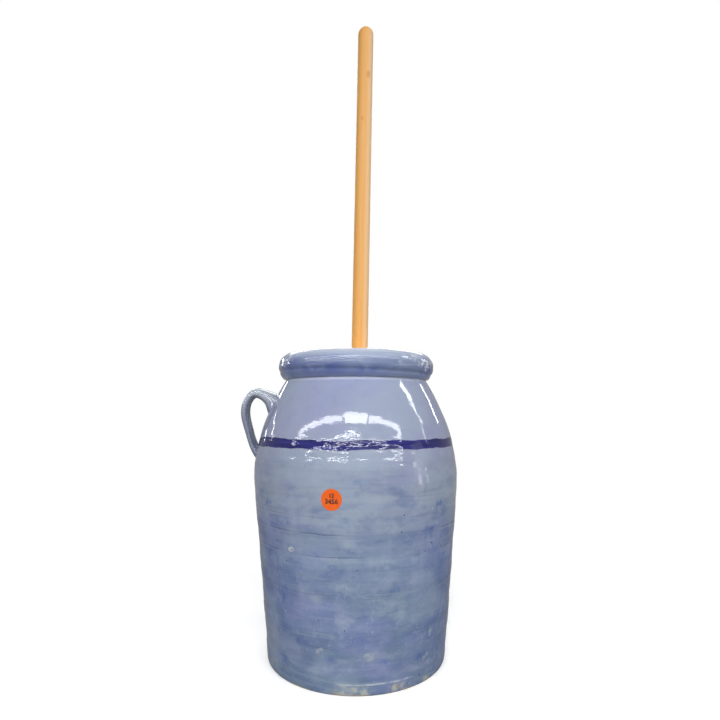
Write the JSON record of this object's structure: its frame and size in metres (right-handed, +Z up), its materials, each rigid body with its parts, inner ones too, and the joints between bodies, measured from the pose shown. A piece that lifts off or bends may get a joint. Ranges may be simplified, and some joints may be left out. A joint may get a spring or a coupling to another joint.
{
  "type": "butter churn",
  "caption": "Stoneware butter churn: tall blue-glazed crock with a rolled collar and one strap handle, a wooden lid in the rim, and a long wooden dasher with a cross at its foot.",
  "frame": {"origin": "centre of the crock's flat underside, on its axis", "axes": "+Z up along the crock's axis, the strap handle towards -X, the label on the -Y side"},
  "size_m": [0.3075, 0.2836, 0.9263],
  "materials": {
    "blue_glaze": "thick glossy glaze, mottled",
    "label_paper": "matt paper",
    "lid_wood": "planed, unfinished",
    "rod_wood": "turned and sanded, satin",
    "cross_wood": "sawn and planed, unfinished",
    "nail_steel": "drawn wire"
  },
  "bodies": {
    "crock": {"crock_body": "blue_glaze", "strap_handle": "blue_glaze", "price_label": "label_paper"},
    "lid": {"lid_board": "lid_wood", "lid_register": "lid_wood", "lid_nails": "nail_steel"},
    "dasher": {"dasher_rod": "rod_wood", "cross_board_lower": "cross_wood", "cross_board_upper": "cross_wood", "cross_nails": "nail_steel", "foot_wedge": "cross_wood"}
  },
  "joints": [
    {"name": "lid_lift", "type": "slide", "parent": "crock", "child": "lid", "axis": [0.0164, 0, 0.9999], "range_m": [0, 0.57]},
    {"name": "dasher_stroke", "type": "slide", "parent": "crock", "child": "dasher", "axis": [0.0164, 0, 0.9999], "range_m": [0, 0.33]}
  ]
}
